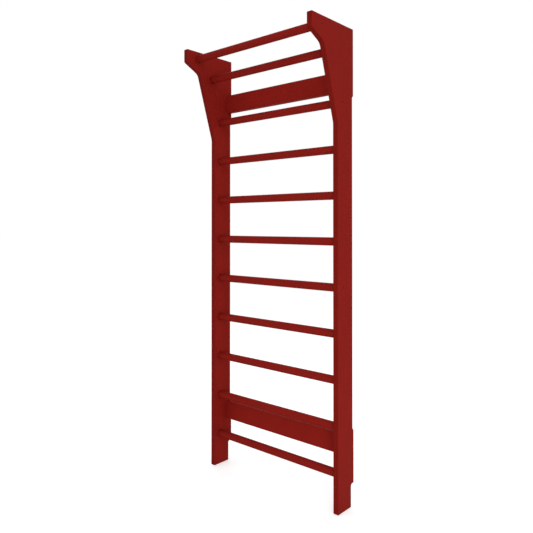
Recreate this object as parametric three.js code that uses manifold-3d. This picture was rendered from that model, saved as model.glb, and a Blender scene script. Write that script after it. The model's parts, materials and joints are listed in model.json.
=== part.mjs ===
// Swedish wall bars: two side panels that carry eleven round bars and two wall boards.
// Millimetres, +Z up. +X is the right side seen from the room, +Y is the wall side.
// The origin is on the floor, under the middle of the overall box.
import * as THREE from 'three';
import { mergeVertices, toCreasedNormals } from 'three/addons/utils/BufferGeometryUtils.js';
import Module from 'manifold-3d';

const wasm = await Module();
wasm.setup();

// Overall sizes
const overallHeight = 2300;
const clearSpan = 804;
const panelThickness = 28;
const uprightDepth = 123;
const edgeRound = 2;

// Head of a side panel: it flares forward to a blunt nose
const noseReach = 203;
const noseHeight = 69;
const noseFootRadius = 13;
const elbowReach = 108;
const elbowDrop = 117;
const elbowRadius = 40;
const taperDrop = 468;
const taperRadius = 80;

// Back of a side panel: two pads with sloped ends rest on the wall, and a notch clears the skirting
const padProud = 9;
const padEndSlope = 9;
const upperPadHeight = 324;
const lowerPadHeight = 253;
const padCornerRadius = 5;
const skirtingHeight = 110;
const skirtingDepth = 14;
const notchRadius = 12;

// Round bars and the blind sockets that hold their ends
const barDiameter = 40;
const barEndChamfer = 2;
const socketWeb = 10;
const pullUpBarSetback = 77;
const pullUpBarDrop = 40;
const gripBarReach = 22;
const gripBarDrop = 135;
const rungCount = 9;
const rungDepth = 44;
const lowestRungHeight = 172;
const rungsPerScrew = 4;

// Wall boards between the panels
const boardHeight = 100;
const boardThickness = 28;
const upperBoardDrop = 203;
const lowerBoardHeight = 242;
const topRungToBoard = 45;
const wallHoleDiameter = 4;

// Beech dowels in the board ends
const dowelDiameter = 8;
const dowelLength = 36;
const dowelChamfer = 1;
const dowelInPanel = 12;
const dowelEdgeDistance = 25;

// Countersunk screws through the panel into a bar's end
const screwLength = 60;
const screwShankDiameter = 5;
const screwHeadDiameter = 10;
const screwHeadDepth = 3;
const screwPointLength = 6;
const screwRecess = 1.5;
const screwKeyWidth = 4;
const screwKeyDepth = 2;

// Clearance between fitted pieces, and how far a cut runs past the face that it opens
const fitGap = 0.3;
const cutOverrun = 2;

// Facets
const barSides = 32;
const smallSides = 16;
const keySides = 6;
const arcSteps = 6;
const roundSteps = 2;
const creaseAngle = Math.PI / 6;

// Places worked out from the sizes
const overallDepth = noseReach + uprightDepth + padProud;
const noseY = -overallDepth / 2;
const frontY = noseY + noseReach;
const rearY = frontY + uprightDepth;
const wallY = rearY + padProud;
const barRadius = barDiameter / 2;
const socketRadius = barRadius + fitGap;
const socketDepth = panelThickness - socketWeb;
const barLength = clearSpan + 2 * (socketDepth - fitGap);
const upperBoardMiddle = overallHeight - upperBoardDrop - boardHeight / 2;
const lowerBoardMiddle = lowerBoardHeight + boardHeight / 2;
const boardY = rearY - boardThickness / 2;
const boardLength = clearSpan - 2 * fitGap;
const topRungHeight = upperBoardMiddle - boardHeight / 2 - topRungToBoard - barRadius;
const rungPitch = (topRungHeight - lowestRungHeight) / (rungCount - 1);

const sides = [
  { name: 'left', sign: -1 },
  { name: 'right', sign: 1 },
];

const boards = [
  { name: 'upper', z: upperBoardMiddle },
  { name: 'lower', z: lowerBoardMiddle },
];

const dowelRows = [
  { name: 'top', rise: boardHeight / 2 - dowelEdgeDistance },
  { name: 'bottom', rise: dowelEdgeDistance - boardHeight / 2 },
];

const bars = [
  {
    name: 'pull_up_bar',
    y: noseY + pullUpBarSetback,
    z: overallHeight - pullUpBarDrop,
    screwed: true,
  },
  {
    name: 'upper_grip_bar',
    y: frontY - gripBarReach,
    z: overallHeight - gripBarDrop,
    screwed: false,
  },
];
for (let i = 0; i < rungCount; i += 1) {
  bars.push({
    name: `rung_${i + 1}`,
    y: frontY + rungDepth,
    z: lowestRungHeight + i * rungPitch,
    screwed: i % rungsPerScrew === 0,
  });
}

const paint = new THREE.MeshStandardMaterial({ color: 0x7d1d18, roughness: 0.5, metalness: 0 });
const beech = new THREE.MeshStandardMaterial({ color: 0xc79a63, roughness: 0.8, metalness: 0 });
const darkSteel = new THREE.MeshStandardMaterial({ color: 0x35302e, roughness: 0.4, metalness: 1 });

// Solid from a closed geometry: shared corners are merged and zero-area triangles dropped.
function solid(geometry) {
  geometry.deleteAttribute('normal');
  geometry.deleteAttribute('uv');
  const merged = mergeVertices(geometry);
  const index = merged.index.array;
  const triangles = [];
  for (let i = 0; i < index.length; i += 3) {
    const [a, b, c] = [index[i], index[i + 1], index[i + 2]];
    if (a !== b && b !== c && c !== a) triangles.push(a, b, c);
  }
  const mesh = new wasm.Mesh({
    numProp: 3,
    vertProperties: new Float32Array(merged.attributes.position.array),
    triVerts: new Uint32Array(triangles),
  });
  return new wasm.Manifold(mesh);
}

// Geometry of a solid: round stretches are shaded smooth, and sharp edges stay crisp.
function geometryOf(body) {
  const mesh = body.getMesh();
  const geometry = new THREE.BufferGeometry();
  geometry.setAttribute('position', new THREE.BufferAttribute(mesh.vertProperties, 3));
  geometry.setIndex(new THREE.BufferAttribute(mesh.triVerts, 1));
  return toCreasedNormals(geometry, creaseAngle);
}

// Arc that replaces a corner of an outline, as points from one side to the other.
function cornerArc(before, corner, after, radius) {
  const back = before.clone().sub(corner).normalize();
  const ahead = after.clone().sub(corner).normalize();
  const halfAngle = Math.acos(back.dot(ahead)) / 2;
  const bisector = back.clone().add(ahead).normalize();
  const centre = corner.clone().addScaledVector(bisector, radius / Math.sin(halfAngle));
  const tangent = radius / Math.tan(halfAngle);
  const start = corner.clone().addScaledVector(back, tangent).sub(centre);
  const end = corner.clone().addScaledVector(ahead, tangent).sub(centre);
  const sweep = Math.atan2(start.cross(end), start.dot(end));
  const points = [];
  for (let i = 0; i <= arcSteps; i += 1) {
    const turned = start.clone().rotateAround(new THREE.Vector2(), (sweep * i) / arcSteps);
    points.push(turned.add(centre));
  }
  return points;
}

// Closed shape through corners [across, up, radius]; a corner with no radius stays sharp.
function roundedShape(corners) {
  const places = corners.map(([across, up]) => new THREE.Vector2(across, up));
  const points = corners.flatMap(([, , radius], i) => {
    if (!radius) return [places[i]];
    const before = places.at(i - 1);
    const after = places[(i + 1) % places.length];
    return cornerArc(before, places[i], after, radius);
  });
  return new THREE.Shape(points);
}

// Bar of the given section, drawn in (y, z), running along x about the middle, with rounded rims.
function extrudedAlongX(shape, length, rimRound) {
  const geometry = new THREE.ExtrudeGeometry(shape, {
    depth: length - 2 * rimRound,
    bevelEnabled: rimRound > 0,
    bevelThickness: rimRound,
    bevelSize: rimRound,
    bevelOffset: -rimRound,
    bevelSegments: roundSteps,
  });
  geometry.translate(0, 0, rimRound - length / 2);
  const turn = new THREE.Matrix4().makeBasis(
    new THREE.Vector3(0, 1, 0),
    new THREE.Vector3(0, 0, 1),
    new THREE.Vector3(1, 0, 0),
  );
  return geometry.applyMatrix4(turn);
}

// Turned piece along x: profile of [radius, place along x], from the axis back to the axis.
function turnedAlongX(profile, turnSides) {
  const points = profile.map(([radius, along]) => new THREE.Vector2(radius, along));
  return new THREE.LatheGeometry(points, turnSides).rotateZ(-Math.PI / 2);
}

// Plain round cutter along x between two places.
function roundCutter(radius, from, to, y, z, turnSides) {
  const low = Math.min(from, to);
  const high = Math.max(from, to);
  const profile = [[0, low], [radius, low], [radius, high], [0, high]];
  return solid(turnedAlongX(profile, turnSides).translate(0, y, z));
}

// Outline of a side panel in (y, z), counter-clockwise seen from the right.
function panelShape() {
  const notchY = rearY - skirtingDepth;
  const upperPadFoot = overallHeight - upperPadHeight;
  const lowerPadTop = skirtingHeight + lowerPadHeight;
  return roundedShape([
    [frontY, 0],
    [notchY, 0],
    [notchY, skirtingHeight, notchRadius],
    [wallY, skirtingHeight],
    [wallY, lowerPadTop],
    [rearY, lowerPadTop + padEndSlope, padCornerRadius],
    [rearY, upperPadFoot - padEndSlope, padCornerRadius],
    [wallY, upperPadFoot],
    [wallY, overallHeight],
    [noseY, overallHeight],
    [noseY, overallHeight - noseHeight, noseFootRadius],
    [frontY - elbowReach, overallHeight - elbowDrop, elbowRadius],
    [frontY, overallHeight - taperDrop, taperRadius],
  ]);
}

// Hole for a countersunk screw, from the outer face of the panel to the bottom of its socket.
function screwHoleCutter(sign, y, z) {
  const outer = panelThickness / 2;
  const headRadius = screwHeadDiameter / 2 + fitGap;
  const shankRadius = screwShankDiameter / 2 + fitGap;
  const socketFloor = outer - socketWeb;
  const profile = [
    [0, socketFloor - cutOverrun],
    [shankRadius, socketFloor - cutOverrun],
    [shankRadius, outer - screwRecess - screwHeadDepth - fitGap],
    [headRadius, outer - screwRecess - fitGap],
    [headRadius, outer + cutOverrun],
    [0, outer + cutOverrun],
  ];
  const geometry = turnedAlongX(profile, smallSides);
  if (sign < 0) geometry.rotateZ(Math.PI);
  return solid(geometry.translate(0, y, z));
}

// Side panel with its sockets, dowel holes and screw holes, about its own mid-thickness.
function sidePanel(sign) {
  const innerFace = (-sign * panelThickness) / 2;
  const socketFloor = innerFace + sign * socketDepth;
  const dowelFloor = innerFace + sign * (dowelInPanel + fitGap);
  const opening = innerFace - sign * cutOverrun;
  let body = solid(extrudedAlongX(panelShape(), panelThickness, edgeRound));
  for (const bar of bars) {
    body = body.subtract(roundCutter(socketRadius, opening, socketFloor, bar.y, bar.z, barSides));
    if (bar.screwed) body = body.subtract(screwHoleCutter(sign, bar.y, bar.z));
  }
  const dowelRadius = dowelDiameter / 2 + fitGap;
  for (const board of boards) {
    for (const row of dowelRows) {
      const z = board.z + row.rise;
      body = body.subtract(roundCutter(dowelRadius, opening, dowelFloor, boardY, z, smallSides));
    }
  }
  return geometryOf(body);
}

// Round bar with chamfered ends; a screwed bar has a pilot hole in each end.
function roundBar(screwed) {
  const half = barLength / 2;
  const profile = [
    [0, -half],
    [barRadius - barEndChamfer, -half],
    [barRadius, barEndChamfer - half],
    [barRadius, half - barEndChamfer],
    [barRadius - barEndChamfer, half],
    [0, half],
  ];
  let body = solid(turnedAlongX(profile, barSides));
  if (screwed) {
    const pilotDepth = screwLength + screwRecess - socketWeb;
    const pilotRadius = screwShankDiameter / 2 + fitGap;
    for (const side of sides) {
      const from = side.sign * (half + cutOverrun);
      const to = side.sign * (half - pilotDepth);
      body = body.subtract(roundCutter(pilotRadius, from, to, 0, 0, smallSides));
    }
  }
  return geometryOf(body);
}

// Wall board with dowel holes in both ends and one small wall-fixing hole in the middle.
function wallBoard() {
  const halfDepth = boardThickness / 2;
  const halfHeight = boardHeight / 2;
  const section = roundedShape([
    [-halfDepth, -halfHeight, edgeRound],
    [halfDepth, -halfHeight, edgeRound],
    [halfDepth, halfHeight, edgeRound],
    [-halfDepth, halfHeight, edgeRound],
  ]);
  let body = solid(extrudedAlongX(section, boardLength, 0));
  const dowelRadius = dowelDiameter / 2 + fitGap;
  for (const side of sides) {
    const from = side.sign * (boardLength / 2 + cutOverrun);
    const to = side.sign * (clearSpan / 2 - (dowelLength - dowelInPanel) - fitGap);
    for (const row of dowelRows) {
      body = body.subtract(roundCutter(dowelRadius, from, to, 0, row.rise, smallSides));
    }
  }
  const reach = halfDepth + cutOverrun;
  const hole = roundCutter(wallHoleDiameter / 2, -reach, reach, 0, 0, smallSides);
  return geometryOf(body.subtract(hole.rotate([0, 0, 90])));
}

// Dowel with chamfered ends, about its middle.
function dowel() {
  const half = dowelLength / 2;
  const radius = dowelDiameter / 2;
  const profile = [
    [0, -half],
    [radius - dowelChamfer, -half],
    [radius, dowelChamfer - half],
    [radius, half - dowelChamfer],
    [radius - dowelChamfer, half],
    [0, half],
  ];
  return geometryOf(solid(turnedAlongX(profile, smallSides)));
}

// Countersunk screw with its head at x = 0, pointing to -x, and a hexagonal key socket.
function screw() {
  const shankRadius = screwShankDiameter / 2;
  const profile = [
    [0, -screwLength],
    [shankRadius, screwPointLength - screwLength],
    [shankRadius, -screwHeadDepth],
    [screwHeadDiameter / 2, 0],
    [0, 0],
  ];
  const body = solid(turnedAlongX(profile, smallSides));
  const key = roundCutter(screwKeyWidth / 2, -screwKeyDepth, cutOverrun, 0, 0, keySides);
  return geometryOf(body.subtract(key));
}

const group = new THREE.Group();

function place(name, geometry, material, x, y, z) {
  const mesh = new THREE.Mesh(geometry, material);
  mesh.name = name;
  mesh.position.set(x, y, z);
  group.add(mesh);
  return mesh;
}

for (const side of sides) {
  const x = (side.sign * (clearSpan + panelThickness)) / 2;
  place(`side_panel_${side.name}`, sidePanel(side.sign), paint, x, 0, 0);
}

for (const bar of bars) {
  place(bar.name, roundBar(bar.screwed), paint, 0, bar.y, bar.z);
}

for (const board of boards) {
  place(`wall_board_${board.name}`, wallBoard(), paint, 0, boardY, board.z);
  for (const side of sides) {
    const x = side.sign * (clearSpan / 2 + dowelInPanel - dowelLength / 2);
    for (const row of dowelRows) {
      const name = `dowel_${board.name}_${side.name}_${row.name}`;
      place(name, dowel(), beech, x, boardY, board.z + row.rise);
    }
  }
}

for (const bar of bars.filter((candidate) => candidate.screwed)) {
  for (const side of sides) {
    const x = side.sign * (clearSpan / 2 + panelThickness - screwRecess);
    const name = `screw_${bar.name}_${side.name}`;
    const mesh = place(name, screw(), darkSteel, x, bar.y, bar.z);
    if (side.sign < 0) mesh.rotation.z = Math.PI;
  }
}

export default group;
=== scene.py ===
"""Swedish wall bars: two side panels carry eleven round bars and two wall boards.

Everything is in metres, +Z up. +X is the right side seen from the room, and +Y is the wall side.
The origin is on the floor, under the middle of the overall box.
"""

import json
import math

import bmesh
import bpy
import numpy as np
from bpy.props import FloatProperty, FloatVectorProperty, IntProperty, PointerProperty
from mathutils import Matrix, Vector
from mathutils.geometry import delaunay_2d_cdt


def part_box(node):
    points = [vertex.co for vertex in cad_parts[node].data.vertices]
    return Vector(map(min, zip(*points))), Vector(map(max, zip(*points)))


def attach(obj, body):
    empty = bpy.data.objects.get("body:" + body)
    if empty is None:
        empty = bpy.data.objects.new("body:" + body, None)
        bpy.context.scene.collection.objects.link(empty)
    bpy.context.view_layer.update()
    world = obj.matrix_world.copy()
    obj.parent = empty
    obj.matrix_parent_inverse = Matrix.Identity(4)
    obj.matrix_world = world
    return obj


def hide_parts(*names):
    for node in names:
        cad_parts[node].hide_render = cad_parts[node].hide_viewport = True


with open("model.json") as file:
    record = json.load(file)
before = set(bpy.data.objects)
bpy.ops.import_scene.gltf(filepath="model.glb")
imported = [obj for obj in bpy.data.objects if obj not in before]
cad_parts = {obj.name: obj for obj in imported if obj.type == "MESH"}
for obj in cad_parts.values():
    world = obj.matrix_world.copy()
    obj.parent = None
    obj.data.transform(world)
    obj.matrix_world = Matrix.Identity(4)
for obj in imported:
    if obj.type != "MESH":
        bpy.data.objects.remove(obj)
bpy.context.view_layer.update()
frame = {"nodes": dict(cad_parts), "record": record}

bl_info = {
    "name": "Swedish Wall Bars",
    "version": (1, 0, 0),
    "blender": (4, 5, 0),
    "location": "View3D > Sidebar > Wall Bars",
    "description": "Builds painted wooden wall bars around their packed frame",
    "category": "Add Mesh",
}

BODY = "root"

# Axes, by their place in a point
X, Y, Z = 0, 1, 2

# Facets of round shapes
BAR_SIDES = 64
HOLE_SIDES = 48
DOWEL_SIDES = 64
SCREW_SIDES = 24
KEY_SIDES = 6
CORNER_STEPS = 12
EDGE_STEPS = 6
MOUTH_STEPS = 3
THREAD_STEPS = 8

# Welding and shading
WELD_DISTANCE = 1e-6
SHARP_ANGLE = math.radians(40)
TRIANGLES_WITHOUT_HOLES = 2


def nodes_named(start="", end=""):
    """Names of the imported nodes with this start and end; it's an error if there are none."""
    names = [name for name in sorted(frame["nodes"]) if name.startswith(start) and name.endswith(end)]
    if not names:
        raise RuntimeError(f"no packed node is named {start}...{end}")
    return names


def box_of(node):
    """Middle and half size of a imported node, as arrays."""
    low, high = (np.array(corner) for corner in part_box(node))
    return (low + high) / 2, (high - low) / 2


def outer_end(node):
    """How far a node reaches from the middle of the wall bars, sideways."""
    middle, half = box_of(node)
    return abs(middle[X]) + half[X]


def inner_end(node):
    """How near a node comes to the middle of the wall bars, sideways."""
    middle, half = box_of(node)
    return abs(middle[X]) - half[X]


def bar_nodes():
    """Names of the round bars."""
    return nodes_named("rung_") + nodes_named(end="_bar")


# Sizes and colours


def length(label, description, default):
    """Property for a length."""
    return FloatProperty(
        name=label, description=description, default=default, min=0.0, precision=4, unit="LENGTH"
    )


def share(label, description, default):
    """Property for a number from 0 to 1."""
    return FloatProperty(
        name=label, description=description, default=default, min=0.0, max=1.0, subtype="FACTOR"
    )


def colour(label, description, default):
    """Property for a colour, as red, green and blue light."""
    return FloatVectorProperty(
        name=label, description=description, default=default, min=0.0, max=1.0, subtype="COLOR"
    )


class WallBarsPanelSizes(bpy.types.PropertyGroup):
    """Outline of a side panel, drawn from the side"""

    upright_depth: length("Upright depth", "From the front edge to the back edge", 0.123)
    edge_round: length("Edge round", "Radius along every edge of the panel", 0.002)
    corner_radius: length("Corner radius", "Radius of the outline's outer corners", 0.003)
    nose_height: length("Nose height", "Height of the blunt front of the head", 0.069)
    nose_foot_radius: length("Nose foot radius", "Radius of the corner under the nose", 0.013)
    elbow_reach: length("Elbow reach", "From the front edge forward to the elbow", 0.108)
    elbow_drop: length("Elbow drop", "From the top down to the elbow", 0.117)
    elbow_radius: length("Elbow radius", "Radius of the elbow under the nose", 0.040)
    taper_drop: length("Taper drop", "From the top down to the end of the taper", 0.468)
    taper_radius: length("Taper radius", "Radius where the taper meets the upright", 0.080)
    pad_proud: length("Pad height", "How far the wall pads stand proud of the back edge", 0.009)
    pad_end_slope: length("Pad end slope", "Height of the slope at the end of a pad", 0.009)
    upper_pad_height: length("Upper pad height", "Length of the wall pad at the head", 0.324)
    lower_pad_height: length("Lower pad height", "Length of the wall pad above the foot", 0.253)
    pad_corner_radius: length("Pad corner radius", "Radius of the hollow corners at the pads", 0.005)
    skirting_height: length("Skirting height", "Height of the notch for a skirting board", 0.110)
    skirting_depth: length("Skirting depth", "Depth of the notch for a skirting board", 0.014)
    notch_radius: length("Notch radius", "Radius of the notch's hollow corner", 0.012)


class WallBarsFittingSizes(bpy.types.PropertyGroup):
    """Joints, boards, dowels and screws"""

    fit_gap: length("Fit gap", "Clearance between fitted pieces", 0.0003)
    bar_gap: length("Bar gap", "Clearance round a bar, nearly filled by the paint", 0.00008)
    hole_ease: length("Eased mouth", "Radius at the mouth of a hole", 0.0003)
    flat_rim: length("Flat rim", "Width of the flat strip beside a rounded edge", 0.0005)
    bar_end_round: length("Bar end round", "Radius at the hidden ends of a bar", 0.002)
    board_edge_round: length("Board edge round", "Radius along the edges of a board", 0.002)
    wall_hole_diameter: length("Wall hole", "Diameter of the fixing hole in a board", 0.004)
    dowel_end_round: length("Dowel end round", "Radius at the ends of a dowel", 0.001)
    flute_depth: length("Flute depth", "Depth of the grooves along a dowel", 0.0003)
    flute_count: IntProperty(name="Flutes", description="Grooves round a dowel", default=16, min=0)
    screw_shank_diameter: length("Screw shank", "Diameter of a screw's shank", 0.005)
    screw_core_diameter: length("Screw core", "Diameter inside the thread", 0.0034)
    screw_head_depth: length("Screw head depth", "Depth of the countersunk head", 0.003)
    screw_smooth_length: length("Smooth shank", "Length of shank without a thread", 0.018)
    screw_point_length: length("Screw point", "Length of the pointed end", 0.006)
    screw_pitch: length("Screw pitch", "From one turn of the thread to the next", 0.0024)
    screw_key_diameter: length("Screw key", "Diameter of the key socket over its corners", 0.004)
    screw_key_depth: length("Screw key depth", "Depth of the key socket", 0.002)


class WallBarsFinishes(bpy.types.PropertyGroup):
    """Colours and surfaces"""

    paint: colour("Paint", "Dark red satin paint", (0.206, 0.0100, 0.0067))
    paint_roughness: share("Paint roughness", "How dull the paint is", 0.52)
    paint_gloss: share("Paint gloss", "How strongly the paint reflects", 0.015)
    paint_mottle: share("Paint mottle", "How far the paint's depth of colour varies", 0.11)
    # Painted shade: the paint on the panels' edges is darkened to this share
    edge_painted_shade: share("Sawn edge tone", "Light of the paint on the plywood's thirsty edges", 0.73)
    # Painted shade: the paint on the bars is darkened to this share
    bar_painted_shade: share("Bar tone", "Light of the paint on the turned bars", 0.93)
    # Painted light: the paint on the boards is lightened by this factor, against the shade they get
    board_painted_light: FloatProperty(
        name="Board tone", description="Light of the paint on the planed boards", default=1.07
    )
    grain_relief: length("Grain relief", "How deep the grain shows through the paint", 0.00006)
    coat_relief: length("Coat relief", "How uneven the coat of paint is", 0.00003)
    beech: colour("Beech", "Bare turned beech", (0.57, 0.32, 0.125))
    beech_roughness: share("Beech roughness", "How dull bare beech is", 0.62)
    steel: colour("Screw steel", "Dark zinc plating", (0.036, 0.031, 0.028))
    steel_roughness: share("Steel roughness", "How dull the plating is", 0.38)


class WallBarsStage(bpy.types.PropertyGroup):
    """Camera, light and floor"""

    camera_place: FloatVectorProperty(
        name="Camera place",
        description="Where the camera stands",
        default=(1.919, -2.161, 1.349),
        subtype="TRANSLATION",
        unit="LENGTH",
    )
    camera_turn: FloatProperty(
        name="Camera turn",
        description="Turn to the left from the way straight to the wall",
        default=math.radians(41.35),
        subtype="ANGLE",
    )
    camera_tilt: FloatProperty(
        name="Camera tilt",
        description="Tilt above the horizon",
        default=math.radians(0.5),
        subtype="ANGLE",
    )
    lens: FloatProperty(name="Lens", description="Focal length in millimetres", default=38.11)
    camera_drop: FloatProperty(
        name="Camera drop",
        description="How far the view is shifted down, as a share of its width",
        default=0.0863,
    )
    sky_strength: FloatProperty(name="Sky strength", description="Even light all round", default=0.8)
    high_lamp_power: FloatProperty(name="High lamp", description="Power of the high soft lamp", default=42.0)
    low_lamp_power: FloatProperty(name="Low lamp", description="Power of the low soft lamp", default=42.0)
    back_lamp_power: FloatProperty(name="Back lamp", description="Power of the lamp behind", default=42.0)
    floor: colour("Floor", "Pale floor", (0.8, 0.8, 0.8))


class WallBarsSettings(bpy.types.PropertyGroup):
    """All the sizes and colours of the wall bars"""

    panel: PointerProperty(type=WallBarsPanelSizes)
    fitting: PointerProperty(type=WallBarsFittingSizes)
    finish: PointerProperty(type=WallBarsFinishes)
    stage: PointerProperty(type=WallBarsStage)


# Shapes


def unit(vectors):
    """Each vector divided by its own length."""
    return vectors / np.linalg.norm(vectors, axis=-1, keepdims=True)


def rounded_outline(corners):
    """Closed outline through corners (across, up, radius), and each point's unit normal into the shape.

    Every corner becomes an arc that touches both of its sides: its centre lies on the bisector,
    radius / sin(half angle) from the corner, and its points are centre + radius * (cos, sin).
    """
    corners = np.array(corners)
    places = corners[:, :2]
    radius = corners[:, 2, None]
    back = unit(np.roll(places, 1, axis=0) - places)
    ahead = unit(np.roll(places, -1, axis=0) - places)
    half_angle = np.arccos((back * ahead).sum(axis=1, keepdims=True)) / 2
    centre = places + unit(back + ahead) * radius / np.sin(half_angle)
    start = places + back * radius / np.tan(half_angle) - centre
    end = places + ahead * radius / np.tan(half_angle) - centre
    start_angle = np.arctan2(start[:, 1], start[:, 0])
    sweep = np.arctan2(
        start[:, 0] * end[:, 1] - start[:, 1] * end[:, 0], (start * end).sum(axis=1)
    )
    angle = start_angle[:, None] + sweep[:, None] * np.linspace(0, 1, CORNER_STEPS + 1)
    spoke = np.stack([np.cos(angle), np.sin(angle)], axis=-1)
    points = centre[:, None] + radius[:, None] * spoke
    inward = -np.sign(sweep)[:, None, None] * spoke
    return points.reshape(-1, 2), inward.reshape(-1, 2)


def quarter_round(radius, steps):
    """Quarter circle from a face to the edge beside it, as (depth below the face, inset from the edge).

    Depth is radius * (1 - cos) and inset is radius * (1 - sin) of an angle from 0 to 90 degrees.
    """
    angle = np.linspace(0, math.pi / 2, steps + 1)
    return radius * (1 - np.cos(angle)), radius * (1 - np.sin(angle))


def edge_section(low, high, radius, flat_rim):
    """Section of a board's edge between two faces, as (place, inset): strip, round, edge, round, strip."""
    depth, inset = quarter_round(radius, EDGE_STEPS)
    depth = np.append(0, depth)
    inset = np.append(radius + flat_rim, inset)
    place = np.append(low + depth, (high - depth)[::-1])
    return place, np.append(inset, inset[::-1])


def hole_mouth(radius, face, into, fitting):
    """Mouth of a round hole as (place, radius): a flat strip on the face and a small round into the hole."""
    depth, inset = quarter_round(fitting.hole_ease, MOUTH_STEPS)
    place = face + into * np.append(0, depth)
    return place, radius + np.append(fitting.hole_ease + fitting.flat_rim, inset)


def circle(centre, radius, sides):
    """Points of a circle in a plane: centre + radius * (cos, sin)."""
    angle = np.arange(sides) * (2 * math.pi / sides)
    return centre + radius * np.column_stack([np.cos(angle), np.sin(angle)])


class Shell:
    """The surfaces of one closed piece, which are welded into one mesh."""

    def __init__(self):
        self.points = np.empty((0, 3))
        self.faces = []
        self.smooth = []

    def add(self, points, faces, smooth):
        """Adds faces, given by the places of their corners in the list of points."""
        self.faces.extend((np.asarray(faces) + len(self.points)).tolist())
        self.smooth.extend([smooth] * len(faces))
        self.points = np.vstack([self.points, points])

    def grid(self, points, closed):
        """Adds quads between neighbours in a grid of points; a closed grid's last row joins its first."""
        rows, columns = points.shape[:2]
        row, column = np.indices((rows if closed else rows - 1, columns - 1)).reshape(2, -1)
        here = row * columns + column
        there = (row + 1) % rows * columns + column
        self.add(points.reshape(-1, 3), np.column_stack([here, there, there + 1, here + 1]), True)

    def turned(self, place, radius, centre, sides, axis=X):
        """Adds a turned surface: each radius at its place is carried round the axis through the centre.

        The two other coordinates are centre + radius * (cos, sin) of the angle. The radius may also
        be a grid with a row for each side, so that it changes with the angle.
        """
        angle = (np.arange(sides) * (2 * math.pi / sides))[:, None]
        radius = np.broadcast_to(radius, (sides, len(place)))
        across = centre[0] + radius * np.cos(angle)
        up = centre[1] + radius * np.sin(angle)
        along = np.broadcast_to(place, across.shape)
        self.grid(np.stack(np.insert([across, up], axis, along, axis=0), axis=-1), closed=True)

    def flat_face(self, outline, holes, axis, place):
        """Adds the flat face inside an outline and outside its round holes, square to the axis."""
        loops = [outline, *[hole[::-1] for hole in holes]]
        corners = np.vstack(loops)
        ends = np.cumsum([len(loop) for loop in loops])
        borders = [list(range(end - len(loop), end)) for loop, end in zip(loops, ends)]
        found = delaunay_2d_cdt(
            [Vector(corner) for corner in corners], [], borders, TRIANGLES_WITHOUT_HOLES, WELD_DISTANCE
        )
        self.add(np.insert(np.array(found[0]), axis, place, axis=1), found[2], False)

    def piece(self, name, material, nodes):
        """Object of the welded shell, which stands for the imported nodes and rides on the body."""
        mesh = bpy.data.meshes.new(name)
        mesh.from_pydata(self.points, [], self.faces)
        mesh.polygons.foreach_set("use_smooth", self.smooth)
        welded = bmesh.new()
        welded.from_mesh(mesh)
        bmesh.ops.remove_doubles(welded, verts=welded.verts, dist=WELD_DISTANCE)
        bmesh.ops.recalc_face_normals(welded, faces=welded.faces)
        open_edges = sum(not edge.is_manifold for edge in welded.edges)
        welded.to_mesh(mesh)
        welded.free()
        if open_edges:
            raise RuntimeError(f"{name} has {open_edges} open edges")
        mesh.set_sharp_from_angle(angle=SHARP_ANGLE)
        mesh.materials.append(material)
        piece = bpy.data.objects.new(name, mesh)
        bpy.context.scene.collection.objects.link(piece)
        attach(piece, BODY)
        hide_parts(*nodes)
        slot_of(nodes[0])
        return piece


def slot_of(node):
    """The record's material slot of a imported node."""
    return next(row["material_slot"] for row in frame["record"]["subparts"] if row["node"] == node)


# Shader maths


class Wire:
    """Output of a shader node. Arithmetic on it adds Math nodes."""

    def __init__(self, sheet, socket):
        self.sheet = sheet
        self.socket = socket

    def maths(self, operation, first, second):
        """Wire of a Math node on two wires or numbers."""
        settings = {"operation": operation}
        return self.sheet.node("ShaderNodeMath", settings, {0: first, 1: second})["Value"]

    def __add__(self, other):
        return self.maths("ADD", self, other)

    def __radd__(self, other):
        return self.maths("ADD", other, self)

    def __sub__(self, other):
        return self.maths("SUBTRACT", self, other)

    def __rsub__(self, other):
        return self.maths("SUBTRACT", other, self)

    def __mul__(self, other):
        return self.maths("MULTIPLY", self, other)

    def __rmul__(self, other):
        return self.maths("MULTIPLY", other, self)

    def __pow__(self, other):
        return self.maths("POWER", self, other)

    def at_most(self, other):
        """The smaller of the two values."""
        return self.maths("MINIMUM", self, other)

    def size(self):
        """The value without its sign."""
        return self.sheet.node("ShaderNodeMath", {"operation": "ABSOLUTE"}, {0: self})["Value"]

    def sine(self):
        """Sine of the value, as an angle in radians."""
        return self.sheet.node("ShaderNodeMath", {"operation": "SINE"}, {0: self})["Value"]

    def sharper(self, gain):
        """The same wave about one half, with more contrast."""
        return (self - 0.5) * gain + 0.5


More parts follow.
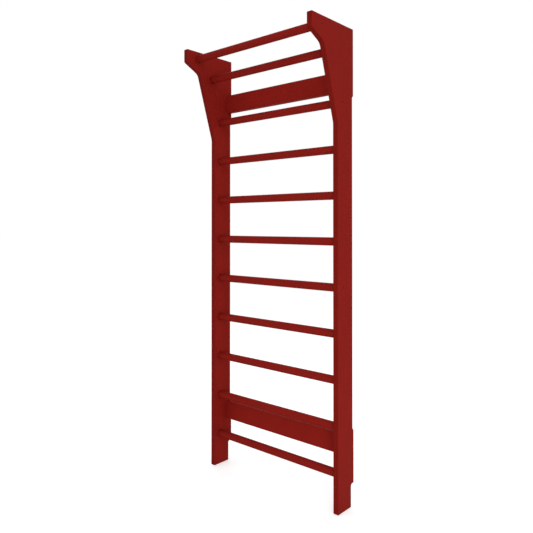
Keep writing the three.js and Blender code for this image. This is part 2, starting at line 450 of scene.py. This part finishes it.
class NodeSheet:
    """Node tree of a material or of the world, emptied and ready to be filled."""

    def __init__(self, owner):
        owner.use_nodes = True
        self.owner = owner
        self.tree = owner.node_tree
        self.tree.nodes.clear()

    def node(self, kind, settings=None, sockets=None):
        """Adds a node, sets its settings, then the values or links of its sockets; gives its outputs."""
        node = self.tree.nodes.new(kind)
        for name, value in (settings or {}).items():
            setattr(node, name, value)
        shown = [socket for socket in node.inputs if socket.enabled]
        for key, value in (sockets or {}).items():
            socket = shown[key] if isinstance(key, int) else next(s for s in shown if s.name == key)
            if isinstance(value, Wire):
                self.tree.links.new(value.socket, socket)
            else:
                socket.default_value = value
        return {socket.name: Wire(self, socket) for socket in node.outputs if socket.enabled}

    def place(self, stretch=(1, 1, 1)):
        """Object coordinates, stretched."""
        place = self.node("ShaderNodeTexCoord")["Object"]
        return self.node("ShaderNodeMapping", {}, {"Vector": place, "Scale": stretch})["Vector"]

    def noise(self, place, scale, detail=2.0, roughness=0.5, distortion=0.0):
        """Soft noise from 0 to 1 with about scale lumps to the metre."""
        sockets = {
            "Vector": place,
            "Scale": scale,
            "Detail": detail,
            "Roughness": roughness,
            "Distortion": distortion,
        }
        return self.node("ShaderNodeTexNoise", {}, sockets)["Fac"]

    def mixed(self, amount, first, second):
        """Colour between two colours."""
        sockets = {"Factor": amount, "A": first, "B": second}
        return self.node("ShaderNodeMix", {"data_type": "RGBA"}, sockets)["Result"]

    def relief(self, height, depth, under=None):
        """Normal of a bumpy surface, whose height from 0 to 1 stands for a depth in metres."""
        sockets = {"Height": height, "Distance": depth, "Strength": 1.0}
        if under is not None:
            sockets["Normal"] = under
        return self.node("ShaderNodeBump", {}, sockets)["Normal"]

    def surface(self, sockets):
        """Ends the tree with a principled surface."""
        shader = self.node("ShaderNodeBsdfPrincipled", {}, sockets)["BSDF"]
        self.node("ShaderNodeOutputMaterial", {}, {"Surface": shader})
        return self.owner


def solid_colour(light, gain=1.0):
    """A colour with its alpha, made lighter or darker."""
    return (*[min(1.0, part * gain) for part in light], 1.0)


# Finishes

# Noises of the paint, the wood and the steel, whose scale is in lumps to the metre
COAT = {"scale": 420.0}
CLOUD = {"scale": 9.0, "detail": 3.0}
FIGURE = {"scale": 16.0, "detail": 1.5}
FIBRE = {"scale": 900.0, "detail": 3.0, "distortion": 0.3}
FLECK = {"scale": 2200.0, "detail": 1.0}
GROWTH_LINE = {"scale": 900.0, "detail": 3.0, "distortion": 0.4}
BARE_FLECK = {"scale": 2400.0, "detail": 1.0}
BLOOM = {"scale": 700.0, "detail": 3.0}
TURNING_MARK = {"scale": 1500.0, "detail": 2.0}

# Stretch of the coordinate along the grain or a screw: below 1, what it carries grows longer
FIGURE_STRETCH = 1 / 14
FIBRE_STRETCH = 1 / 40
FLECK_STRETCH = 1 / 7
GROWTH_STRETCH = 1 / 30
BARE_FLECK_STRETCH = 1 / 6
MARK_STRETCH = 4

# Paint
GRAIN_SHARE = 0.6
CLEARER = 2.0
CLOUD_ROUGHNESS = 0.1
COAT_ROUGHNESS = 0.06

# Plywood and beech under the paint
# Depth from a panel's face at which the painted shade on its edges is full
EDGE_SHADE_DEPTH = 0.001
FIGURE_TURNS = 70.0
FIGURE_SHARE = 0.35
PLY_PAIR = 0.0028
PLY_FINENESS = 6
PLY_SHARE = 0.7
FLECK_FINENESS = 4
FLECK_SHARE = 0.8

# Bare beech and screw steel, with the darkest and the lightest share of their colours
GROWTH_SHARES = (0.78, 1.12)
BARE_FLECK_SHARE = 0.45
BARE_FLECK_GAIN = 3
GROWTH_ROUGHNESS = 0.15
GROWTH_RELIEF = 0.00004
BLOOM_SHARES = (0.75, 1.6)
BLOOM_ROUGHNESS = 0.2
MARK_RELIEF = 0.00001


def painted(sheet, wood, finish, tone=1.0):
    """Satin paint over wood, whose lines from 0 to 1 show faintly through the coat.

    The tone scales the paint's colour, a number or a wire: below 1 it is painted shade, above 1 painted
    light.
    """
    coat = sheet.noise(sheet.place(), **COAT)
    cloud = sheet.noise(sheet.place(), **CLOUD)
    paint = sheet.mixed(
        wood * GRAIN_SHARE + cloud.sharper(CLEARER) * (1 - GRAIN_SHARE),
        solid_colour(finish.paint, 1 - finish.paint_mottle),
        solid_colour(finish.paint, 1 + finish.paint_mottle),
    )
    # The paint scaled by the tone: painted light or painted shade, depending on the piece
    paint_with_painted_light = sheet.node(
        "ShaderNodeVectorMath", {"operation": "SCALE"}, {"Vector": paint, "Scale": tone}
    )["Vector"]
    unevenness = (cloud - 0.5) * CLOUD_ROUGHNESS + (coat - 0.5) * COAT_ROUGHNESS
    return sheet.surface(
        {
            "Base Color": paint_with_painted_light,
            "Roughness": unevenness + finish.paint_roughness,
            "Specular IOR Level": finish.paint_gloss,
            "Normal": sheet.relief(coat, finish.coat_relief, sheet.relief(wood, finish.grain_relief)),
        }
    )


def painted_plywood(name, finish, middle, half):
    """Painted plywood: long wavy figure on the faces, and the plies' edges as fine lines round them.

    The middle and half size along x are one panel's. All round its edges, from a millimetre in from its
    faces, the paint is darker: painted shade on the edges.
    """
    sheet = NodeSheet(bpy.data.materials.new(name))
    lie = sheet.noise(sheet.place((0, 1, FIGURE_STRETCH)), **FIGURE)
    figure = (lie * FIGURE_TURNS).sine() * 0.5 + 0.5
    fibre = sheet.noise(sheet.place((1, 1, FIBRE_STRETCH)), **FIBRE)
    across = sheet.node("ShaderNodeSeparateXYZ", {}, {"Vector": sheet.place()})["X"]
    ply = ((across * (2 * math.pi / PLY_PAIR)).sine() * 0.5 + 0.5) ** PLY_FINENESS
    # Painted shade: darker paint round the panel's edges, full from a millimetre in from its faces
    depth = half - (across.size() - abs(middle)).size()
    edge_shade_mask = (depth * (1 / EDGE_SHADE_DEPTH)).at_most(1.0)
    tone = 1 - edge_shade_mask * (1 - finish.edge_painted_shade)
    grain = figure * FIGURE_SHARE + fibre.sharper(CLEARER) * (1 - FIGURE_SHARE)
    return painted(sheet, grain - ply * PLY_SHARE, finish, tone)


def painted_beech(name, finish, tone=1.0):
    """Painted solid beech with its grain along x: fine fibres and short flecks. The tone scales the whole
    piece's paint: below 1 painted shade, above 1 painted light.
    """
    sheet = NodeSheet(bpy.data.materials.new(name))
    fibre = sheet.noise(sheet.place((FIBRE_STRETCH, 1, 1)), **FIBRE)
    fleck = sheet.noise(sheet.place((FLECK_STRETCH, 1, 1)), **FLECK) ** FLECK_FINENESS
    return painted(sheet, fibre.sharper(CLEARER) - fleck * FLECK_SHARE, finish, tone)


def bare_beech(name, finish):
    """Bare beech with its grain along x: pale wood, darker growth lines and short dark flecks."""
    sheet = NodeSheet(bpy.data.materials.new(name))
    line = sheet.noise(sheet.place((GROWTH_STRETCH, 1, 1)), **GROWTH_LINE)
    fleck = sheet.noise(sheet.place((BARE_FLECK_STRETCH, 1, 1)), **BARE_FLECK) ** FLECK_FINENESS
    wood = sheet.mixed(line, *[solid_colour(finish.beech, gain) for gain in GROWTH_SHARES])
    dark = solid_colour(finish.beech, BARE_FLECK_SHARE)
    flecked = sheet.mixed((fleck * BARE_FLECK_GAIN).at_most(1.0), wood, dark)
    return sheet.surface(
        {
            "Base Color": flecked,
            "Roughness": (line - 0.5) * GROWTH_ROUGHNESS + finish.beech_roughness,
            "Normal": sheet.relief(line + fleck, GROWTH_RELIEF),
        }
    )


def screw_steel(name, finish):
    """Dark zinc plating with a faint cloudy bloom and fine turning marks."""
    sheet = NodeSheet(bpy.data.materials.new(name))
    bloom = sheet.noise(sheet.place(), **BLOOM)
    marks = sheet.noise(sheet.place((MARK_STRETCH, 1, 1)), **TURNING_MARK)
    plating = sheet.mixed(bloom, *[solid_colour(finish.steel, gain) for gain in BLOOM_SHARES])
    return sheet.surface(
        {
            "Base Color": plating,
            "Metallic": 1.0,
            "Roughness": (bloom - 0.5) * BLOOM_ROUGHNESS + finish.steel_roughness,
            "Normal": sheet.relief(marks, MARK_RELIEF),
        }
    )


def finish_named(name, make, *details):
    """The material with this name, made the first time that it is asked for."""
    return bpy.data.materials.get(name) or make(name, *details)


# Pieces


def panel_corners(front, back, top, sizes):
    """Corners (y, z, radius) of a side panel's outline, with the panel on the left of the way round.

    Front and back are the outline's furthest points, at the nose and at the wall pads.
    """
    rear = back - sizes.pad_proud
    edge = rear - sizes.upright_depth
    notch = rear - sizes.skirting_depth
    lower_pad_top = sizes.skirting_height + sizes.lower_pad_height
    upper_pad_foot = top - sizes.upper_pad_height
    return [
        (edge, 0, sizes.corner_radius),
        (notch, 0, sizes.corner_radius),
        (notch, sizes.skirting_height, sizes.notch_radius),
        (back, sizes.skirting_height, sizes.corner_radius),
        (back, lower_pad_top, sizes.corner_radius),
        (rear, lower_pad_top + sizes.pad_end_slope, sizes.pad_corner_radius),
        (rear, upper_pad_foot - sizes.pad_end_slope, sizes.pad_corner_radius),
        (back, upper_pad_foot, sizes.corner_radius),
        (back, top, sizes.corner_radius),
        (front, top, sizes.corner_radius),
        (front, top - sizes.nose_height, sizes.nose_foot_radius),
        (edge - sizes.elbow_reach, top - sizes.elbow_drop, sizes.elbow_radius),
        (edge, top - sizes.taper_drop, sizes.taper_radius),
    ]


def blind_hole(shell, radius, face, floor, centre, sides, fitting):
    """Round hole along x from a face to a flat floor; gives the circle that it cuts from the face."""
    place, mouth = hole_mouth(radius, face, np.sign(floor - face), fitting)
    shell.turned(np.append(place, [floor, floor]), np.append(mouth, [radius, 0]), centre, sides)
    return circle(centre, mouth[0], sides)


def screwed_socket(shell, radius, faces, floor, screw, centre, fitting):
    """Socket with a screw hole through its floor; gives the circles cut from both faces.

    The hole is one turned surface: mouth, socket wall, socket floor, shank hole, cone and outer mouth.
    """
    inner, outer = faces
    side = np.sign(outer - inner)
    shank = fitting.screw_shank_diameter / 2 + fitting.fit_gap
    head = box_of(screw)[1][Z] + fitting.fit_gap
    cone_mouth = side * (outer_end(screw) - fitting.fit_gap)
    cone_floor = cone_mouth - side * fitting.screw_head_depth
    place, mouth = hole_mouth(radius, inner, side, fitting)
    outer_place, outer_mouth = hole_mouth(head, outer, -side, fitting)
    places = [*place, floor, floor, cone_floor, cone_mouth, *outer_place[::-1]]
    radii = [*mouth, radius, shank, shank, head, *outer_mouth[::-1]]
    shell.turned(places, radii, centre, BAR_SIDES)
    return circle(centre, mouth[0], BAR_SIDES), circle(centre, outer_mouth[0], BAR_SIDES)


def side_panel(node, settings):
    """Side panel: its outline carries a rounded edge section, and both faces are flat with round holes."""
    sizes = settings.panel
    fitting = settings.fitting
    middle, half = box_of(node)
    side = np.sign(middle[X])
    inner = middle[X] - side * half[X]
    outer = middle[X] + side * half[X]
    front, back = middle[Y] - half[Y], middle[Y] + half[Y]
    outline, inward = rounded_outline(panel_corners(front, back, 2 * half[Z], sizes))
    place, inset = edge_section(0, 2 * half[X], sizes.edge_round, fitting.flat_rim)
    shell = Shell()
    rim = outline[:, None] + inward[:, None] * inset[None, :, None]
    across = np.broadcast_to(inner + side * place, rim.shape[:2])
    shell.grid(np.dstack([across, rim]), closed=True)
    inner_holes = []
    outer_holes = []
    end = "_left" if side < 0 else "_right"
    for bar in bar_nodes():
        bar_middle, bar_half = box_of(bar)
        radius = bar_half[Z] + fitting.bar_gap
        floor = side * (outer_end(bar) + fitting.fit_gap)
        screw = f"screw_{bar}{end}"
        if screw in frame["nodes"]:
            mouth, outer_mouth = screwed_socket(
                shell, radius, (inner, outer), floor, screw, bar_middle[1:], fitting
            )
            outer_holes.append(outer_mouth)
        else:
            mouth = blind_hole(shell, radius, inner, floor, bar_middle[1:], BAR_SIDES, fitting)
        inner_holes.append(mouth)
    for dowel in nodes_named("dowel_"):
        dowel_middle, dowel_half = box_of(dowel)
        if dowel_middle[X] * side > 0:
            radius = dowel_half[Z] + fitting.fit_gap
            floor = side * (outer_end(dowel) + fitting.fit_gap)
            inner_holes.append(
                blind_hole(shell, radius, inner, floor, dowel_middle[1:], HOLE_SIDES, fitting)
            )
    face = outline + inward * inset[0]
    shell.flat_face(face, inner_holes, X, inner)
    shell.flat_face(face, outer_holes, X, outer)
    paint = finish_named("painted_plywood", painted_plywood, settings.finish, middle[X], half[X])
    return shell.piece(f"painted_{node}", paint, [node])


def round_bar(node, settings):
    """Round bar: one turned surface with rounded hidden ends, and pilot holes where screws enter."""
    fitting = settings.fitting
    middle, half = box_of(node)
    depth, inset = quarter_round(fitting.bar_end_round, MOUTH_STEPS)
    place = half[X] - depth
    radius = half[Z] - inset
    screw = f"screw_{node}_right"
    if screw in frame["nodes"]:
        pilot = fitting.screw_shank_diameter / 2 + fitting.fit_gap
        floor = inner_end(screw) - fitting.fit_gap
        place = np.append([floor, floor, half[X]], place)
        radius = np.append([0, pilot, pilot], radius)
    else:
        place = np.append(half[X], place)
        radius = np.append(0, radius)
    shell = Shell()
    both_ends = np.append(-place, place[::-1])
    shell.turned(both_ends, np.append(radius, radius[::-1]), middle[1:], BAR_SIDES)
    # The bars get the paint darkened by the bar tone: painted shade
    paint = finish_named("painted_bar", painted_beech, settings.finish, settings.finish.bar_painted_shade)
    return shell.piece(f"painted_{node}", paint, [node])


def wall_board(node, settings):
    """Wall board: two rounded long edges carried along x, flat faces, and square ends with dowel holes."""
    fitting = settings.fitting
    middle, half = box_of(node)
    end, front, bottom = middle - half
    other_end, back, top = middle + half
    edge = fitting.board_edge_round
    rim = edge + fitting.flat_rim
    section, _ = rounded_outline(
        [(front, bottom, edge), (back, bottom, edge), (back, top, edge), (front, top, edge)]
    )
    lower, upper = np.split(section, 2)
    lower = np.vstack([(front, bottom + rim), lower, (back, bottom + rim)])
    upper = np.vstack([(back, top - rim), upper, (front, top - rim)])
    shell = Shell()
    for strip in (lower, upper):
        shell.grid(np.stack([np.insert(strip, X, x, axis=1) for x in (end, other_end)]), closed=False)
    for side in (-1, 1):
        face = middle[X] + side * half[X]
        mouths = []
        for dowel in nodes_named(node.replace("wall_board", "dowel")):
            dowel_middle, dowel_half = box_of(dowel)
            if dowel_middle[X] * side > 0:
                radius = dowel_half[Z] + fitting.fit_gap
                floor = side * (inner_end(dowel) - fitting.fit_gap)
                mouths.append(
                    blind_hole(shell, radius, face, floor, dowel_middle[1:], HOLE_SIDES, fitting)
                )
        shell.flat_face(np.vstack([lower, upper]), mouths, X, face)
    centre = middle[[X, Z]]
    front_place, mouth = hole_mouth(fitting.wall_hole_diameter / 2, front, 1, fitting)
    back_place, _ = hole_mouth(fitting.wall_hole_diameter / 2, back, -1, fitting)
    hole_place = np.append(front_place, back_place[::-1])
    shell.turned(hole_place, np.append(mouth, mouth[::-1]), centre, HOLE_SIDES, axis=Y)
    flat = np.array(
        [(end, bottom + rim), (other_end, bottom + rim), (other_end, top - rim), (end, top - rim)]
    )
    for face in (front, back):
        shell.flat_face(flat, [circle(centre, mouth[0], HOLE_SIDES)], Y, face)
    # The boards get the paint lightened by the board tone: painted light
    paint = finish_named("painted_board", painted_beech, settings.finish, settings.finish.board_painted_light)
    return shell.piece(f"painted_{node}", paint, [node])


def fluted_dowel(node, settings):
    """Dowel: a turned surface whose radius dips in a cosine wave round it, for the glue grooves."""
    fitting = settings.fitting
    middle, half = box_of(node)
    depth, inset = quarter_round(fitting.dowel_end_round, MOUTH_STEPS)
    place = np.append(half[X], half[X] - depth)
    radius = np.append(0, half[Z] - inset)
    angle = (np.arange(DOWEL_SIDES) * (2 * math.pi / DOWEL_SIDES))[:, None]
    dip = fitting.flute_depth / half[Z] * (1 - np.cos(fitting.flute_count * angle)) / 2
    shell = Shell()
    shell.turned(
        middle[X] + np.append(-place, place[::-1]),
        np.append(radius, radius[::-1]) * (1 - dip),
        middle[1:],
        DOWEL_SIDES,
    )
    beech = finish_named("bare_beech_dowel", bare_beech, settings.finish)
    return shell.piece(f"fluted_{node}", beech, [node])


def threaded_screw(node, settings):
    """Countersunk screw with a key socket and a right-hand thread, as one turned grid.

    The socket's radius is its flats' distance / cos(angle from the middle of a flat). The thread's
    radius goes from core to crest and back as depth / pitch + angle / turn goes up by one.
    """
    fitting = settings.fitting
    middle, half = box_of(node)
    side = np.sign(middle[X])
    reach = 2 * half[X]
    shank = fitting.screw_shank_diameter / 2
    core = fitting.screw_core_diameter / 2
    angle = (np.arange(SCREW_SIDES) * (2 * math.pi / SCREW_SIDES))[:, None]
    corner = fitting.screw_key_diameter / 2
    flat_angle = np.mod(angle, 2 * math.pi / KEY_SIDES) - math.pi / KEY_SIDES
    key = corner * math.cos(math.pi / KEY_SIDES) / np.cos(flat_angle)
    threaded = reach - fitting.screw_smooth_length
    rows = math.ceil(threaded / fitting.screw_pitch * THREAD_STEPS)
    depth = fitting.screw_smooth_length + threaded * np.linspace(1 / rows, 1, rows)
    turns = depth / fitting.screw_pitch + side * angle / (2 * math.pi)
    crest = np.abs(2 * np.mod(turns, 1) - 1)
    narrowing = np.minimum(1, (reach - depth) / fitting.screw_point_length)
    thread = (core + (shank - core) * crest) * narrowing
    plain = np.ones((SCREW_SIDES, 1))
    smooth_depth = [
        fitting.screw_key_depth,
        fitting.screw_key_depth,
        0,
        0,
        fitting.screw_head_depth,
        fitting.screw_smooth_length,
    ]
    smooth_radius = [0 * plain, key, key, half[Z] * plain, shank * plain, shank * plain]
    shell = Shell()
    shell.turned(
        side * (outer_end(node) - np.append(smooth_depth, depth)),
        np.hstack([*smooth_radius, thread]),
        middle[1:],
        SCREW_SIDES,
    )
    steel = finish_named("dark_zinc_screw", screw_steel, settings.finish)
    return shell.piece(f"threaded_{node}", steel, [node])


# Stage

FLOOR_REACH = 60.0
FLOOR_DROP = 0.0002
HIGH_LAMP = {"place": (2.25, -2.25, 4.33), "aim": (0.0, 0.0, 1.15), "size": 3.0}
LOW_LAMP = {"place": (2.4, -2.4, 0.65), "aim": (0.0, 0.0, 0.2), "size": 1.2}
BACK_LAMP = {"place": (-2.25, 2.25, 4.33), "aim": (0.0, 0.0, 1.15), "size": 3.0}
WHITE = (1.0, 1.0, 1.0)
WHITE_STRENGTH = 1.0


def seen(sheet):
    """1 where the camera sees something directly, in gloss or through it, and 0 for light on its way."""
    path = sheet.node("ShaderNodeLightPath")
    rays = path["Is Camera Ray"] + path["Is Glossy Ray"] + path["Is Transmission Ray"]
    return rays.at_most(1.0)


def white_sky(stage):
    """World: even light all round, which looks plain white."""
    sheet = NodeSheet(bpy.data.worlds.new("white_sky"))
    given, shown = [
        sheet.node(
            "ShaderNodeBackground", {}, {"Color": solid_colour(WHITE), "Strength": strength}
        )["Background"]
        for strength in (stage.sky_strength, WHITE_STRENGTH)
    ]
    sky = sheet.node("ShaderNodeMixShader", {}, {0: seen(sheet), 1: given, 2: shown})["Shader"]
    sheet.node("ShaderNodeOutputWorld", {}, {"Surface": sky})
    return sheet.owner


def pale_floor(name, stage):
    """Matt pale floor that keeps a shadow, and looks white where the whole sky lights it.

    The glow that it lacks for white is only seen: it lights nothing.
    """
    sheet = NodeSheet(bpy.data.materials.new(name))
    matt = sheet.node("ShaderNodeBsdfDiffuse", {}, {"Color": solid_colour(stage.floor)})["BSDF"]
    lacking = WHITE_STRENGTH - stage.sky_strength * min(stage.floor)
    glow = sheet.node(
        "ShaderNodeEmission", {}, {"Color": solid_colour(WHITE), "Strength": lacking}
    )["Emission"]
    bright = sheet.node("ShaderNodeAddShader", {}, {0: matt, 1: glow})["Shader"]
    floor = sheet.node("ShaderNodeMixShader", {}, {0: seen(sheet), 1: matt, 2: bright})["Shader"]
    sheet.node("ShaderNodeOutputMaterial", {}, {"Surface": floor})
    return sheet.owner


def stage_floor(stage):
    """Wide flat floor just under the feet."""
    mesh = bpy.data.meshes.new("floor")
    corners = [(-1, -1), (1, -1), (1, 1), (-1, 1)]
    points = [(FLOOR_REACH * across, FLOOR_REACH * along, -FLOOR_DROP) for across, along in corners]
    mesh.from_pydata(points, [], [(0, 1, 2, 3)])
    mesh.materials.append(pale_floor("pale_floor", stage))
    floor = bpy.data.objects.new("floor", mesh)
    bpy.context.scene.collection.objects.link(floor)


def soft_lamp(name, power, place, aim, size):
    """Large square lamp, which the camera doesn't see."""
    light = bpy.data.lights.new(name, "AREA")
    light.energy = power
    light.size = size
    lamp = bpy.data.objects.new(name, light)
    lamp.location = place
    lamp.rotation_euler = (Vector(aim) - lamp.location).to_track_quat("-Z", "Y").to_euler()
    lamp.visible_camera = False
    bpy.context.scene.collection.objects.link(lamp)


def photo_camera(stage):
    """Camera at the photograph's place and angle."""
    view = bpy.data.cameras.new("camera")
    view.lens = stage.lens
    view.shift_y = -stage.camera_drop
    camera = bpy.data.objects.new("camera", view)
    camera.location = stage.camera_place
    camera.rotation_euler = (math.pi / 2 + stage.camera_tilt, 0, stage.camera_turn)
    bpy.context.scene.collection.objects.link(camera)
    bpy.context.scene.camera = camera


# Operators


class WALLBARS_OT_stage(bpy.types.Operator):
    """Add the sky, the floor, the lamps and the camera"""

    bl_idname = "wall_bars.add_stage"
    bl_label = "Stage"

    def execute(self, context):
        stage = context.scene.wall_bars.stage
        context.scene.world = white_sky(stage)
        context.scene.view_settings.view_transform = "Standard"
        stage_floor(stage)
        soft_lamp("high_lamp", stage.high_lamp_power, **HIGH_LAMP)
        soft_lamp("low_lamp", stage.low_lamp_power, **LOW_LAMP)
        soft_lamp("back_lamp", stage.back_lamp_power, **BACK_LAMP)
        photo_camera(stage)
        return {"FINISHED"}


class WALLBARS_OT_side_panels(bpy.types.Operator):
    """Add the two side panels with their flared heads, wall pads, sockets and screw holes"""

    bl_idname = "wall_bars.add_side_panels"
    bl_label = "Side Panels"

    def execute(self, context):
        for node in nodes_named("side_panel_"):
            side_panel(node, context.scene.wall_bars)
        return {"FINISHED"}


class WALLBARS_OT_round_bars(bpy.types.Operator):
    """Add the rungs, the upper grip bar and the pull-up bar"""

    bl_idname = "wall_bars.add_round_bars"
    bl_label = "Round Bars"

    def execute(self, context):
        for node in bar_nodes():
            round_bar(node, context.scene.wall_bars)
        return {"FINISHED"}


class WALLBARS_OT_wall_boards(bpy.types.Operator):
    """Add the two boards at the wall side with their fixing holes"""

    bl_idname = "wall_bars.add_wall_boards"
    bl_label = "Wall Boards"

    def execute(self, context):
        for node in nodes_named("wall_board_"):
            wall_board(node, context.scene.wall_bars)
        return {"FINISHED"}


class WALLBARS_OT_dowels(bpy.types.Operator):
    """Add the fluted dowels in the ends of the wall boards"""

    bl_idname = "wall_bars.add_dowels"
    bl_label = "Dowels"

    def execute(self, context):
        for node in nodes_named("dowel_"):
            fluted_dowel(node, context.scene.wall_bars)
        return {"FINISHED"}


class WALLBARS_OT_screws(bpy.types.Operator):
    """Add the countersunk screws through the side panels into the bars"""

    bl_idname = "wall_bars.add_screws"
    bl_label = "Screws"

    def execute(self, context):
        for node in nodes_named("screw_"):
            threaded_screw(node, context.scene.wall_bars)
        return {"FINISHED"}


OPERATORS = (
    WALLBARS_OT_stage,
    WALLBARS_OT_side_panels,
    WALLBARS_OT_round_bars,
    WALLBARS_OT_wall_boards,
    WALLBARS_OT_dowels,
    WALLBARS_OT_screws,
)


class VIEW3D_PT_wall_bars(bpy.types.Panel):
    """Sizes, colours and pieces of the wall bars"""

    bl_label = "Wall Bars"
    bl_space_type = "VIEW_3D"
    bl_region_type = "UI"
    bl_category = "Wall Bars"

    def draw(self, context):
        settings = context.scene.wall_bars
        for part in ("panel", "fitting", "finish", "stage"):
            group = getattr(settings, part)
            box = self.layout.box()
            box.label(text=part.capitalize())
            for name in type(group).__annotations__:
                box.prop(group, name)
        for operator in OPERATORS:
            self.layout.operator(operator.bl_idname)


CLASSES = (
    WallBarsPanelSizes,
    WallBarsFittingSizes,
    WallBarsFinishes,
    WallBarsStage,
    WallBarsSettings,
    *OPERATORS,
    VIEW3D_PT_wall_bars,
)


def register():
    """Makes the settings, the operators and the panel known."""
    for item in CLASSES:
        bpy.utils.register_class(item)
    bpy.types.Scene.wall_bars = PointerProperty(type=WallBarsSettings)


def unregister():
    """Takes the settings, the operators and the panel away again."""
    del bpy.types.Scene.wall_bars
    for item in reversed(CLASSES):
        bpy.utils.unregister_class(item)


def main():
    """Builds everything in order."""
    register()
    bpy.ops.wall_bars.add_stage()
    bpy.ops.wall_bars.add_side_panels()
    bpy.ops.wall_bars.add_round_bars()
    bpy.ops.wall_bars.add_wall_boards()
    bpy.ops.wall_bars.add_dowels()
    bpy.ops.wall_bars.add_screws()


if __name__ == "__main__":
    main()
